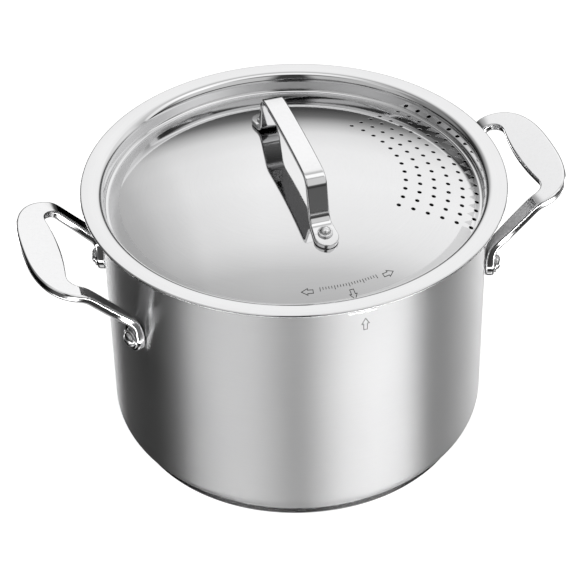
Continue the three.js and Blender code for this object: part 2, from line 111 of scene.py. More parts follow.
TAB_WIDTH = 15.0
TAB_LENGTH = 7.6
TAB_TIP = 4.0
RIVET_ANGLE = math.radians(20.2)
RIVET_HEIGHT = 107.5
RIVET_ROUNDING = 0.5
RIVET_CHAMFER = 0.1
RIVET_TAIL_ROUNDING = 0.4
SIDE_RIVET = {"head": 6.0, "height": 3.6, "shank": 2.5, "tail": 5.0, "tail_height": 1.4}
LID_RIVET = {"head": 4.2, "height": 3.4, "shank": 2.0, "tail": 3.8, "tail_height": 1.2}
STRAP_WIDTH = 12.0
STRAP_THICKNESS = 3.0
STRAP_EDGE = 0.9
STRAP_RISE = 26.0
STRAP_SHOULDER = 41.8
STRAP_FOOT = 46.5
STRAP_BEND = 5.5
STRAP_SHOULDER_BEND = 6.5
STRAP_ARCH = 1.5
STRAP_TAB_WIDTH = 14.0
STRAP_TAB_END = 67.0
STRAP_LEAST_HALF = 0.2
LID_RIVET_PLACE = 57.5
MARK_ANGLE = math.radians(-88.4)
MARK_LINE = 0.42
MARK_PROUD = 0.03
MARK_SUNK = 0.1
LID_ARROW = {"length": 6.4, "head_length": 3.4, "head_width": 4.2, "shaft_width": 2.2}
POT_ARROW = {"length": 7.8, "head_length": 3.8, "head_width": 4.4, "shaft_width": 2.1}
MIDDLE_ARROW_ARC = 98.6
SIDE_ARROW_ARC = 93.0
SIDE_ARROW_ANGLE = math.radians(14.6)
POT_ARROW_HEIGHT = 143.9
POT_ARROW_ANGLE = math.radians(1.2)
TICK_ARC = 91.0
TICK_ANGLE = math.radians(1.02)
TICKS_EACH_WAY = 10
TICKS_TO_A_LONG_ONE = 5
TICK_HEIGHT = 1.3
LONG_TICK_HEIGHT = 2.2
TICK_HALF_WIDTH = 0.02
TICK_LINE = MARK_LINE * 0.8

# Shares of another size, and the least cosine of a mark's mitre
RIVET_STEP_SHARE = 0.28
RIVET_DOME_SHARE = 0.72
RIVET_FILLET_SHARE = 0.7
HANDLE_EDGE_SHARE = 0.8
STRAP_EDGE_SHARE = 0.9
MITRE_LEAST = 0.4

# Fineness of the meshes: counts, and steps in millimetres
AROUND = 360
RIVET_AROUND = 72
HOLE_SIDES = 28
DISC_STEP = 4.0
HANDLE_STEP = 0.9
STRAP_STEPS = 12
LUG_STEPS = 12
# Points beside a rounding that keep the flat next to it flat: a length, and a share of the radius
FLAT_SUPPORT = 0.1
FLAT_SUPPORT_SHARE = 0.1
# The disc's inner points keep this far from the holes
HOLE_MARGIN = 0.8
# A face that is nearer to a hole's middle than this share of its radius is left out
HOLE_INSIDE = 0.97
# A lip's faces lie this deep between the lid's two faces, and this far inside the disc's edge
LIP_SKIN = 0.012
LIP_MARGIN = 1.0
# Tolerances in metres
MERGE_DISTANCE = 2e-6
NEEDLE_LENGTH = 1e-7
SPHERE_TOLERANCE = 2e-6
# Least cosine between a face and the sphere for it to be one of the disc's two faces
SAME_FACE = 0.7

# Steel: how grain and haze mix, how far they change tone, and a faint blue
GRAIN_SHARE = 0.6
MIXED_RANGE = (0.3, 0.7)
TINT_RANGE = (0.965, 1.02)
STEEL_BLUE = 1.006
# The vertical part of the normal between which the painted shade on an underside fades in
PAINTED_SHADE_FACING = (-0.8, -0.3)
# Metres over which the polish sets in, and the share of roughness that it leaves
POLISH_FADE = 0.0012
POLISHED_ROUGHNESS = 0.35

# Floor, in metres, and how it is lit
FLOOR_REACH = 8.0
FLOOR_HEIGHT = -0.0002
FLOOR_PAINT = 0.36
FLOOR_GLOW = 0.93

# Camera: angles in degrees, lens and sensor in millimetres, the rest in metres
CAMERA_AZIMUTH = -16.6
CAMERA_ELEVATION = 38.96
CAMERA_DISTANCE = 1.2706
CAMERA_AIM_HEIGHT = 0.0838
CAMERA_AIM_SIDE = -0.00345
CAMERA_ROLL = -1.25
CAMERA_LENS = 132.64
CAMERA_SENSOR = 36.0
CAMERA_FAR = 50.0

# Places that follow from the sizes
POT_FLOOR = BASE_SHEET + CORE_THICKNESS + 2 * CORE_GAP
RIM_RADIUS = POT_RADIUS + RIM_REACH
RIM_UNDER = POT_HEIGHT - POT_SHEET
LID_TOP = POT_HEIGHT + SEAT_GAP + LID_SHEET
CURL_RADIUS = WIRE_RADIUS + WIRE_CLEARANCE + LID_SHEET
CURL_PLACE = RIM_RADIUS + CURL_CLEARANCE + CURL_RADIUS
CURL_HEIGHT = LID_TOP - CURL_RADIUS
SHOULDER_PLACE = POT_RADIUS + RIM_FILLET - LID_PLAY
SHOULDER_HEIGHT = RIM_UNDER - RIM_FILLET
WALL_PLACE = SHOULDER_PLACE - (LID_TOP - SHOULDER_HEIGHT)
DISC_EDGE = WALL_PLACE - DOME_FILLET
DOME_TOP = LID_TOP + DOME_RISE
DOME_MIDDLE = DOME_TOP - DOME_RADIUS
LUG_INNER = POT_RADIUS + RIM_FILLET + LUG_TIP
LUG_TOP = RIM_UNDER - LUG_DROP


def arc(x, z, radius, start, end, steps):
    """Points of an arc about (x, z), angles in degrees."""
    angles = [math.radians(start + (end - start) * i / steps) for i in range(steps + 1)]
    return [(x + radius * math.cos(a), z + radius * math.sin(a)) for a in angles]


def dome_height(distance, depth=0.0):
    """Height of the lid's disc at a distance from the axis and a depth in its sheet."""
    return DOME_MIDDLE + math.sqrt((DOME_RADIUS - depth) ** 2 - distance**2)


# Mesh making


class Builder:
    """Collects vertices in millimetres and faces, and makes them into one piece."""

    def __init__(self):
        self.verts = []
        self.faces = []

    def add(self, verts, faces):
        first = len(self.verts)
        self.verts.extend(Vector(v) for v in verts)
        self.faces.extend([first + i for i in f] for f in faces)

    def add_rings(self, rings, ends=True):
        """Rings of equal count, joined in turn, with the first and last filled if ends is true."""
        count = len(rings[0])
        faces = []
        for i in range(len(rings) - 1):
            low, high = i * count, (i + 1) * count
            for k in range(count):
                n = (k + 1) % count
                faces.append([low + k, low + n, high + n, high + k])
        if ends:
            last = (len(rings) - 1) * count
            faces.append(list(range(count))[::-1])
            faces.append([last + k for k in range(count)])
        self.add([v for ring in rings for v in ring], faces)

    def add_turned(self, profile, around=AROUND, closed=False, place=None):
        """A profile of (radius, height) turned about Z; place changes each point."""
        points = list(profile) + ([profile[0]] if closed else [])
        rings = []
        for r, z in points:
            ring = []
            for k in range(around):
                a = 2 * math.pi * k / around
                v = Vector((r * math.cos(a), r * math.sin(a), z))
                ring.append(place(v) if place else v)
            rings.append(ring)
        self.add_rings(rings, ends=False)

    def piece(self, name, material, body, nodes=(), sharp=35.0, normals=None):
        """Makes the piece, which rides a body and takes the place of CAD nodes.

        Edges over the angle sharp stay sharp; normals(mesh) gives the corner normals.
        """
        mesh = bpy.data.meshes.new(name)
        mesh.from_pydata([v * MM for v in self.verts], [], self.faces)
        work = bmesh.new()
        work.from_mesh(mesh)
        bmesh.ops.remove_doubles(work, verts=work.verts, dist=MERGE_DISTANCE)
        bmesh.ops.dissolve_degenerate(work, edges=work.edges, dist=NEEDLE_LENGTH)
        bmesh.ops.recalc_face_normals(work, faces=work.faces)
        work.to_mesh(mesh)
        work.free()
        mesh.shade_smooth()
        mesh.set_sharp_from_angle(angle=math.radians(sharp))
        if normals:
            mesh.normals_split_custom_set(normals(mesh))
        mesh.materials.append(material)
        obj = bpy.data.objects.new(name, mesh)
        bpy.context.scene.collection.objects.link(obj)
        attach(obj, body)
        if nodes:
            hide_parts(*nodes)
        return obj


# Materials


class Nodes:
    """A node tree with short calls for adding and joining nodes."""

    def __init__(self, tree):
        self.tree = tree
        tree.nodes.clear()

    def add(self, kind, inputs=None, **settings):
        node = self.tree.nodes.new(kind)
        for key, value in settings.items():
            setattr(node, key, value)
        for key, value in (inputs or {}).items():
            if isinstance(value, bpy.types.NodeSocket):
                self.tree.links.new(value, node.inputs[key])
            else:
                node.inputs[key].default_value = value
        return node

    def math(self, operation, *values):
        return self.add("ShaderNodeMath", dict(enumerate(values)), operation=operation).outputs[0]

    def length(self, x, y):
        squares = self.math("ADD", self.math("MULTIPLY", x, x), self.math("MULTIPLY", y, y))
        return self.math("SQRT", squares)

    def map_range(self, value, low, high, to_low=0.0, to_high=1.0):
        return self.add("ShaderNodeMapRange", {
            "Value": value, "From Min": low, "From Max": high, "To Min": to_low, "To Max": to_high,
        }).outputs[0]

    def noise(self, vector, scale, detail, roughness=0.5):
        return self.add("ShaderNodeTexNoise", {
            "Vector": vector, "Scale": scale, "Detail": detail, "Roughness": roughness,
        }).outputs["Fac"]

    def vector_math(self, operation, inputs):
        return self.add("ShaderNodeVectorMath", inputs, operation=operation).outputs[0]

    def ramp(self, value, stops):
        """Grey levels by value, joined by straight lines; stops are (value, level)."""
        node = self.add("ShaderNodeValToRGB", {"Fac": value})
        elements = node.color_ramp.elements
        while len(elements) < len(stops):
            elements.new(0.5)
        for element, (position, level) in zip(elements, stops):
            element.position = position
            element.color = (level, level, level, 1)
        return node.outputs["Color"]


def new_material(name):
    material = bpy.data.materials.new(name)
    material.use_nodes = True
    return material, Nodes(material.node_tree)


def grey(level):
    return (level, level, level, 1)


def polar(nodes, around_scale, out_scale, up_scale):
    """Object coordinates as (angle, distance from the axis, height), each scaled."""
    place = nodes.add("ShaderNodeTexCoord").outputs["Object"]
    x, y, z = nodes.add("ShaderNodeSeparateXYZ", {0: place}).outputs
    return nodes.add("ShaderNodeCombineXYZ", {
        0: nodes.math("MULTIPLY", nodes.math("ARCTAN2", y, x), around_scale),
        1: nodes.math("MULTIPLY", nodes.length(x, y), out_scale),
        2: nodes.math("MULTIPLY", z, up_scale),
    }).outputs[0]


def steel(name, colour, rough, vector_of, lines, anisotropy=0.0, turn=0.0, tangent=False,
          polish_from=0.0, painted_shade_below=0.0):
    """Steel with fine lines along one direction and faint uneven gloss; rough is (least, most).

    The lines are as deep as lines, in metres. With tangent, its gloss is drawn out about the axis.
    Beyond the distance polish_from from the axis, in metres, it is polished.
    On faces that look down, painted shade leaves only the given share of its tone.
    """
    material, nodes = new_material(name)
    place = nodes.add("ShaderNodeTexCoord").outputs["Object"]
    grain = nodes.noise(vector_of(nodes), scale=1.0, detail=4.0, roughness=0.65)
    haze = nodes.noise(place, scale=22.0, detail=3.0)
    mixed = nodes.math("ADD", nodes.math("MULTIPLY", grain, GRAIN_SHARE),
                       nodes.math("MULTIPLY", haze, 1 - GRAIN_SHARE))
    level = nodes.map_range(mixed, *MIXED_RANGE, *(colour * share for share in TINT_RANGE))
    # Painted shade: faces that look down are darkened, standing in for the shade under a part
    if painted_shade_below:
        normal = nodes.add("ShaderNodeNewGeometry").outputs["Normal"]
        _, _, facing = nodes.add("ShaderNodeSeparateXYZ", {0: normal}).outputs
        left = nodes.map_range(facing, *PAINTED_SHADE_FACING, painted_shade_below, 1.0)
        level = nodes.math("MULTIPLY", level, left)
    tone = nodes.add("ShaderNodeCombineColor", {
        "Red": level, "Green": level, "Blue": nodes.math("MULTIPLY", level, STEEL_BLUE),
    })
    roughness = nodes.map_range(mixed, *MIXED_RANGE, *rough)
    if polish_from:
        x, y, _ = nodes.add("ShaderNodeSeparateXYZ", {0: place}).outputs
        kept = nodes.map_range(nodes.length(x, y), polish_from, polish_from + POLISH_FADE,
                               1.0, POLISHED_ROUGHNESS)
        roughness = nodes.math("MULTIPLY", roughness, kept)
    bump = nodes.add("ShaderNodeBump", {"Strength": 1.0, "Distance": lines, "Height": grain})
    shader = nodes.add("ShaderNodeBsdfPrincipled", {
        "Base Color": tone.outputs[0], "Metallic": 1.0, "Roughness": roughness,
        "Normal": bump.outputs[0], "Anisotropic": anisotropy, "Anisotropic Rotation": turn,
    })
    if tangent:
        along = nodes.add("ShaderNodeTangent", direction_type="RADIAL", axis="Z")
        nodes.tree.links.new(along.outputs[0], shader.inputs["Tangent"])
    nodes.add("ShaderNodeOutputMaterial", {"Surface": shader.outputs[0]})
    return material


def round_the_wall(nodes):
    """Grain drawn out round the axis and fine in height."""
    return polar(nodes, around_scale=6.0, out_scale=300.0, up_scale=4200.0)


def round_the_lid(nodes):
    """Grain drawn out round the axis and fine outwards."""
    return polar(nodes, around_scale=5.0, out_scale=2600.0, up_scale=300.0)


def no_direction(nodes):
    """Grain that is alike in every direction."""
    place = nodes.add("ShaderNodeTexCoord").outputs["Object"]
    scale = 420.0
    return nodes.add("ShaderNodeMapping", {"Vector": place, "Scale": (scale,) * 3}).outputs[0]


wall_steel = steel("wall_steel", 0.70, (0.34, 0.41), round_the_wall, 2e-6,
                   anisotropy=0.95, turn=0.25, tangent=True)
base_steel = steel("base_steel", 0.70, (0.14, 0.18), round_the_lid, 5e-7)
lid_steel = steel("lid_steel", 0.80, (0.045, 0.07), round_the_lid, 2e-7,
                  polish_from=DISC_EDGE * MM)
satin_steel = steel("satin_steel", 0.72, (0.3, 0.4), no_direction, 4e-7)
handle_steel = steel("handle_steel", 0.88, (0.04, 0.07), no_direction, 4e-7)
# The strap's underside gets painted shade: its tone is darkened where it looks down
strap_steel = steel("strap_steel", 0.88, (0.04, 0.07), no_direction, 4e-7,
                    painted_shade_below=0.14)
rivet_steel = steel("rivet_steel", 0.84, (0.2, 0.28), no_direction, 4e-7)
core_metal = steel("core_metal", 0.76, (0.35, 0.5), no_direction, 5e-6)


def ink(name):
    """Dark etched lines, a little uneven."""
    material, nodes = new_material(name)
    place = nodes.add("ShaderNodeTexCoord").outputs["Object"]
    spots = nodes.noise(place, scale=1800.0, detail=3.0)
    tone = nodes.ramp(spots, [(0.3, 0.015), (0.7, 0.05)])
    gloss = nodes.map_range(spots, 0.0, 1.0, 0.45, 0.7)
    shader = nodes.add("ShaderNodeBsdfPrincipled", {"Base Color": tone, "Roughness": gloss})
    nodes.add("ShaderNodeOutputMaterial", {"Surface": shader.outputs[0]})
    return material


mark_ink = ink("mark_ink")


# Pot and base


def pot_profile(depth):
    """The pot's section at a depth in its sheet, from the middle of the floor to the flange."""
    low = POT_FLOOR + POT_CORNER
    parts = 8
    return [
        (0.0, POT_FLOOR + depth),
        (POT_RADIUS / 2, POT_FLOOR + depth),
        *arc(POT_RADIUS - POT_CORNER, low, POT_CORNER - depth, -90, 0, 16),
        *[(POT_RADIUS - depth, low + (SHOULDER_HEIGHT - low) * i / parts) for i in range(1, parts)],
        *arc(POT_RADIUS + RIM_FILLET, SHOULDER_HEIGHT, RIM_FILLET + depth, 180, 90, 12),
    ]


def make_pot():
    notch_from = LUG_INNER - NOTCH_CLEARANCE
    half = LUG_WIDTH / 2 + NOTCH_CLEARANCE

    def notched(v):
        if v.z > RIM_UNDER - RIM_FILLET / 2 and abs(v.x) < half and abs(v.y) > notch_from:
            v.y = math.copysign(notch_from, v.y)
        return v

    edge = POT_SHEET / 2
    build = Builder()
    rim = arc(RIM_RADIUS - edge, RIM_UNDER + edge, edge, -90, 90, 8)
    profile = pot_profile(0) + rim + pot_profile(POT_SHEET)[::-1]
    build.add_turned(profile, 2 * AROUND, place=notched)
    build.piece("pot_shell", wall_steel, "pot", ["pot_body"])


def make_base():
    top = POT_FLOOR - CORE_GAP
    inner = BASE_RADIUS - BASE_SHEET
    lip = BASE_SHEET / 2
    build = Builder()
    build.add_turned([
        (0.0, 0.0),
        *arc(BASE_RADIUS - BASE_EDGE, BASE_EDGE, BASE_EDGE, -90, 0, 16),
        (BASE_RADIUS, BASE_EDGE + FLAT_SUPPORT),
        (BASE_RADIUS, top - lip - FLAT_SUPPORT),
        *arc(BASE_RADIUS - lip, top - lip, lip, 0, 180, 16),
        (inner, BASE_EDGE),
        (BASE_RADIUS - BASE_EDGE, BASE_SHEET),
        (0.0, BASE_SHEET),
    ])
    build.piece("base_cup", base_steel, "pot", ["base_cap"])


# Lid


def hole_places():
    """Middles of the strainer holes, in arcs about the axis."""
    places = []
    for row in range(HOLE_ARCS):
        radius = HOLE_FIRST_ARC + row * HOLE_PITCH
        count = HOLE_FIRST_COUNT + row
        for i in range(count):
            angle = (i - (count - 1) / 2) * HOLE_PITCH / radius
            places.append((radius * math.cos(angle), radius * math.sin(angle)))
    return places


HOLE_PLACES = hole_places()


def clear_of_holes(x, y, reach):
    return all(math.hypot(x - hx, y - hy) > reach for hx, hy in HOLE_PLACES)


def circle(x, y, radius, count):
    angles = [2 * math.pi * k / count for k in range(count)]
    return [(x + radius * math.cos(a), y + radius * math.sin(a)) for a in angles]


def punched_disc(edge, hole, depth):
    """The disc's face at a depth: a triangle mesh with the holes left open."""
    loops = [circle(0, 0, edge, AROUND)]
    loops += [circle(x, y, hole, HOLE_SIDES) for x, y in HOLE_PLACES]
    points, edges = [], []
    for loop in loops:
        first = len(points)
        points.extend(loop)
        edges.extend((first + k, first + (k + 1) % len(loop)) for k in range(len(loop)))
    for ring in range(int(edge / DISC_STEP)):
        radius = ring * DISC_STEP
        count = max(1, round(2 * math.pi * radius / DISC_STEP))
        for x, y in circle(0, 0, radius, count):
            if clear_of_holes(x, y, hole + HOLE_MARGIN):
                points.append((x, y))
    tolerance = 1e-6
    flat, _, triangles, *_ = delaunay_2d_cdt([Vector(p) for p in points], edges, [], 0, tolerance)
    verts = [(v.x, v.y, dome_height(v.length, depth)) for v in flat]
    faces = []
    for face in triangles:
        x, y = (sum(flat[i][axis] for i in face) / 3 for axis in (0, 1))
        if clear_of_holes(x, y, hole * HOLE_INSIDE):
            faces.append(list(face))
    return verts, faces


def dome_normals(mesh):
    """Corner normals with those on the disc's two faces set to the sphere's."""
    middle = Vector((0, 0, DOME_MIDDLE * MM))
    normals = [Vector(n.vector) for n in mesh.corner_normals]
    for face in mesh.polygons:
        for loop, vertex in zip(face.loop_indices, face.vertices):
            place = mesh.vertices[vertex].co
            if math.hypot(place.x, place.y) >= DISC_EDGE * MM:
                continue
            spoke = place - middle
            for depth, sign in ((0.0, 1), (LID_SHEET, -1)):
                facing = sign * spoke.normalized()
                off_sphere = abs(spoke.length - (DOME_RADIUS - depth) * MM)
                if off_sphere < SPHERE_TOLERANCE and facing.dot(face.normal) > SAME_FACE:
                    normals[loop] = facing
    return normals


def lid_edge_profile(depth):
    """The lid's section at a depth in its sheet, from the disc's edge to the end of the curl."""
    reach = DOME_RADIUS + DOME_FILLET
    slope = math.degrees(math.asin(DISC_EDGE / reach))
    height = DOME_MIDDLE + math.sqrt(reach**2 - DISC_EDGE**2)
    return [
        *arc(DISC_EDGE, height, DOME_FILLET + depth, -90 - slope, 0, 12),
        *arc(SHOULDER_PLACE, SHOULDER_HEIGHT, LID_TOP - SHOULDER_HEIGHT - depth, 180, 90, 16),
        *arc(CURL_PLACE, CURL_HEIGHT, CURL_RADIUS - depth, 90, -180, 28),
    ]


def make_lid():
    build = Builder()
    upper = lid_edge_profile(0)
    lower = lid_edge_profile(LID_SHEET)
    build.add_turned(upper + lower[::-1])
    build.add(*punched_disc(upper[0][0], HOLE_RADIUS + HOLE_LIP, 0))
    build.add(*punched_disc(lower[0][0], HOLE_RADIUS, LID_SHEET))
    lip = arc(HOLE_RADIUS + HOLE_LIP, -HOLE_LIP, HOLE_LIP, 90, 180, 5)
    for x, y in HOLE_PLACES:
        rings = []
        for radius, drop in [*lip, (HOLE_RADIUS, -LID_SHEET)]:
            rings.append([(px, py, dome_height(math.hypot(px, py), -drop))
                          for px, py in circle(x, y, radius, HOLE_SIDES)])
        build.add_rings(rings, ends=False)
    lid = build.piece("lid_disc", lid_steel, "lid", ["lid_shell"], sharp=40,
                      normals=dome_normals)
    lid.data.materials.append(satin_steel)
    middle = Vector((0, 0, DOME_MIDDLE))
    for face in lid.data.polygons:
        centre = face.center / MM
        depth = DOME_RADIUS - (centre - middle).length
        among_holes = math.hypot(centre.x, centre.y) < DISC_EDGE - LIP_MARGIN
        if among_holes and LIP_SKIN < depth < LID_SHEET - LIP_SKIN:
            face.material_index = 1


def make_lugs():
    half = math.asin(LUG_WIDTH / 2 / CURL_PLACE)
    low = LUG_TOP - LUG_SHEET
    outer = CURL_PLACE + CURL_RADIUS
    web = outer - LUG_SHEET
    high = CURL_HEIGHT - CURL_RADIUS + LID_SHEET
    section = [
        (LUG_INNER, low), (outer, low), (outer, high), (web, high), (web, LUG_TOP),
        (LUG_INNER, LUG_TOP),
    ]
    build = Builder()
    for middle in (-math.pi / 2, math.pi / 2):
        rings = []
        for i in range(LUG_STEPS + 1):
            a = middle - half + 2 * half * i / LUG_STEPS
            rings.append([(r * math.cos(a), r * math.sin(a), z) for r, z in section])
        build.add_rings(rings)
    lugs = build.piece("lid_lugs", rivet_steel, "lid")
    bevel = lugs.modifiers.new("round", "BEVEL")
    bevel.width = LUG_ROUNDING * MM
    bevel.segments = 3


def make_wire():
    build = Builder()
    section = arc(CURL_PLACE, CURL_HEIGHT, WIRE_RADIUS, 0, 345, 23)
    build.add_turned(section, closed=True)
    build.piece("edge_wire", handle_steel, "lid_edge", ["lid_edge_wire"])


# Side handles


def handle_stations():
    """Half of the +X handle, from the tab's end to the grip's middle.

    Each station is the bar's two edges and the direction of its thickness.
    """
    grip_outer = POT_RADIUS + HANDLE_REACH
    grip_inner = grip_outer - GRIP_WIDTH
    grip_middle = (grip_outer + grip_inner) / 2
    half_length = GRIP_LENGTH / 2
    corner = grip_inner + GRIP_BULGE - GRIP_CORNER
    inner_half = half_length - ARM_WIDTH - GRIP_CORNER
    grip_normal = Vector((-math.sin(GRIP_TILT), 0, math.cos(GRIP_TILT)))

    def on_grip(x, y):
        return Vector((x, y, GRIP_HEIGHT + (x - grip_middle) * math.tan(GRIP_TILT)))

    steps, straight = 18, 12
    grip = []
    for i in range(steps + 1):
        angle = math.pi / 2 * i / steps
        power = 2 / GRIP_ROUNDNESS
        outer = on_grip(corner + (grip_outer - corner) * max(0.0, math.cos(angle)) ** power,
                        half_length * math.sin(angle) ** power)
        along = min(1.0, i / straight)
        turn = max(0, i - straight) * math.pi / 2 / (steps - straight)
        if i <= straight:
            inner = on_grip(grip_inner + GRIP_BULGE * along**2, inner_half * along)
        else:
            inner = on_grip(corner + GRIP_CORNER * math.cos(turn),
                            inner_half + GRIP_CORNER * math.sin(turn))
        grip.append((inner, outer, grip_normal))

    outward = Vector((math.cos(RIVET_ANGLE), math.sin(RIVET_ANGLE), 0))
    across = Vector((-math.sin(RIVET_ANGLE), math.cos(RIVET_ANGLE), 0))

    def on_wall(standoff, height, width, normal):
        middle = outward * (POT_RADIUS + SEAT_GAP + standoff)
        middle.z = height
        return (middle - across * width / 2, middle + across * width / 2, normal)

    to_wall = -outward
    last_inner, last_outer, _ = grip[-1]
    top = (last_inner + last_outer) / 2
    foot_height = RIVET_HEIGHT + ARM_FOOT_RISE
    foot_inner, foot_outer, _ = on_wall(ARM_FOOT_STANDOFF, foot_height, ARM_WIDTH, to_wall)
    foot_middle = (foot_inner + foot_outer) / 2
    arm_normal = -across.cross((top - foot_middle).normalized())
    arm_normal.normalize()
    flat = last_outer - last_inner
    flat.z = 0
    flat.normalize()

    def on_arm(share):
        middle = foot_middle.lerp(top, share)
        side = flat.lerp(across, (1 - share) ** 3).normalized()
        return (middle - side * ARM_WIDTH / 2, middle + side * ARM_WIDTH / 2, arm_normal)

    half = HANDLE_THICKNESS / 2
    tab = []
    for x, y in arc(0, 0, 1, -90, 0, 5):
        width = TAB_TIP + x * (TAB_WIDTH - TAB_TIP)
        tab.append(on_wall(half, RIVET_HEIGHT + y * TAB_LENGTH, width, to_wall))
    return [
        *tab,
        on_wall(half, RIVET_HEIGHT + ARM_FOOT_RISE / 2, (TAB_WIDTH + ARM_WIDTH) / 2, to_wall),
        (foot_inner, foot_outer, (arm_normal + to_wall).normalized()),
        on_arm(1 / 6), on_arm(1 / 2), on_arm(5 / 6),
        *grip[::-1],
    ]


def through(points, steps):
    """A uniform Catmull-Rom curve through points, with steps parts between two of them."""
    ends = [points[0] * 2 - points[1], *points, points[-1] * 2 - points[-2]]
    curve = []
    for i in range(1, len(ends) - 2):
        a, b, c, d = ends[i - 1:i + 3]
        for k in range(steps):
            t = k / steps
            m, n = (c - a) / 2, (d - b) / 2
            curve.append(b * (2 * t**3 - 3 * t**2 + 1) + m * (t**3 - 2 * t**2 + t)
                         + c * (3 * t**2 - 2 * t**3) + n * (t**3 - t**2))
    curve.append(points[-1])
    return curve


def eased(points, spacing, ease):
    """A line of points softened over the length ease, with its ends kept."""
    reach = round(3 * ease / spacing)
    soft = []
    for i, point in enumerate(points):
        span = min(reach, i, len(points) - 1 - i)
        near = range(-span, span + 1)
        weights = [math.exp(-((k * spacing / ease) ** 2) / 2) for k in near]
        total = sum((points[i + k] * w for k, w in zip(near, weights)), point * 0)
        soft.append(total / sum(weights))
    return soft


def spaced_evenly(lines, spacing):
    """Lines side by side, sampled again at even steps along the mean of the first two."""
    middle = [(a + b) / 2 for a, b in zip(lines[0], lines[1])]
    run = [0.0]
    for a, b in zip(middle, middle[1:]):
        run.append(run[-1] + (b - a).length)
    count = round(run[-1] / spacing)
    again = [[] for _ in lines]
    i = 0
    for step in range(count + 1):
        goal = run[-1] * step / count
        while i < len(run) - 2 and run[i + 1] < goal:
            i += 1
        share = (goal - run[i]) / max(1e-9, run[i + 1] - run[i])
        for line, new in zip(lines, again):
            new.append(line[i].lerp(line[i + 1], min(1.0, share)))
    return again


def rounded_section(half_width, half_height, edge, lower_edge, steps=7):
    """Points of a rectangle with round corners and one more point on the flat beside each end."""
    points = []
    corners = (
        (1, 1, 0, edge), (-1, 1, 90, edge), (-1, -1, 180, lower_edge), (1, -1, 270, lower_edge),
    )
    for sx, sy, start, radius in corners:
        bend = arc(sx * (half_width - radius), sy * (half_height - radius), radius,
                   start, start + 90, steps)
        beside = FLAT_SUPPORT_SHARE * radius
        c, s = math.cos(math.radians(start)), math.sin(math.radians(start))
        (x, y), (u, v) = bend[0], bend[-1]
        points += [(x + s * beside, y - c * beside), *bend, (u - c * beside, v - s * beside)]
    return points


def make_side_handle(side, name, node):
    half = handle_stations()
    flip = Vector((1, -1, 1))
    mirrored = [tuple(v * flip for v in station) for station in half[-2::-1]]
    stations = half + mirrored
    curves = [through([s[i] for s in stations], 8) for i in range(3)]
    lines = spaced_evenly(curves, HANDLE_STEP)
    inners, outers = (eased(line, HANDLE_STEP, HANDLE_EASE) for line in lines[:2])
    normals = eased(lines[2], HANDLE_STEP, HANDLE_NORMAL_EASE)
    least = POT_RADIUS + SEAT_GAP
    rings = []
    for inner, outer, normal in zip(inners, outers, normals):
        middle = (inner + outer) / 2
        across = (outer - inner).normalized()
        up = (normal - across * normal.dot(across)).normalized()
        half_width = (outer - inner).length / 2
        edge, lower_edge = (min(radius, half_width * HANDLE_EDGE_SHARE)
                            for radius in (HANDLE_EDGE, HANDLE_LOWER_EDGE))
        ring = []
        for w, n in rounded_section(half_width, HANDLE_THICKNESS / 2, edge, lower_edge):
            v = middle + across * w + up * n
            out = math.hypot(v.x, v.y)
            if out < least:
                v.x, v.y = v.x * least / out, v.y * least / out
            ring.append(Vector((side * v.x, side * v.y, v.z)))
        rings.append(ring)
    build = Builder()
    build.add_rings(rings)
    build.piece(name, handle_steel, "pot", [node], sharp=50)


# Rivets


def rivet_profile(grip, head, height, shank, tail, tail_height):
    """A stepped head, a shank through what it grips, and a tail."""
    step = height * RIVET_STEP_SHARE
    dome = head * RIVET_DOME_SHARE
    soft = min(RIVET_ROUNDING, step / 2)
    fillet = soft * RIVET_FILLET_SHARE
    low = -grip - tail_height
    edge = RIVET_TAIL_ROUNDING
    parts = 14
    return [
        (0.0, low),
        *arc(tail - edge, low + edge, edge, -90, 0, 5),
        (tail, -grip), (shank, -grip), (shank, 0.0),
        (head - RIVET_CHAMFER, 0.0), (head, RIVET_CHAMFER),
        *arc(head - soft, step - soft, soft, 0, 90, 6),
        (dome + fillet, step),
        *[(dome * math.cos(a), step + fillet + (height - step - fillet) * math.sin(a))
          for a in (math.pi / 2 * i / parts for i in range(parts))],
        (0.0, height),
    ]


def make_rivet(name, node, body, foot, outward, profile):
    build = Builder()
    turn = Vector((0, 0, 1)).rotation_difference(outward).to_matrix()
    seat = foot + outward * SEAT_GAP
    build.add_turned(profile, RIVET_AROUND, place=lambda v: turn @ v + seat)
    build.piece(name, rivet_steel, body, [node], sharp=50)


def make_rivets():
    face = POT_RADIUS + SEAT_GAP + HANDLE_THICKNESS
    profile = rivet_profile(face + 2 * SEAT_GAP - (POT_RADIUS - POT_SHEET), **SIDE_RIVET)
    for side, side_name in ((-1, "left"), (1, "right")):
        for end, end_name in ((-1, "front"), (1, "rear")):
            outward = Vector((side * math.cos(RIVET_ANGLE), end * math.sin(RIVET_ANGLE), 0))
            foot = outward * face
            foot.z = RIVET_HEIGHT
            node = f"{side_name}_{end_name}_rivet"
            make_rivet(f"{node}_fine", node, "pot", foot, outward, profile)
    profile = rivet_profile(STRAP_THICKNESS + LID_SHEET + 4 * SEAT_GAP, **LID_RIVET)
    slope = math.asin(LID_RIVET_PLACE / DOME_RADIUS)
    for end, end_name in ((-1, "front"), (1, "rear")):
        outward = Vector((0, end * math.sin(slope), math.cos(slope)))
        foot = Vector((0, end * LID_RIVET_PLACE, dome_height(LID_RIVET_PLACE)))
        foot += outward * (SEAT_GAP + STRAP_THICKNESS)
        node = f"lid_{end_name}_rivet"
        make_rivet(f"{node}_fine", node, "lid", foot, outward, profile)


# Lid handle


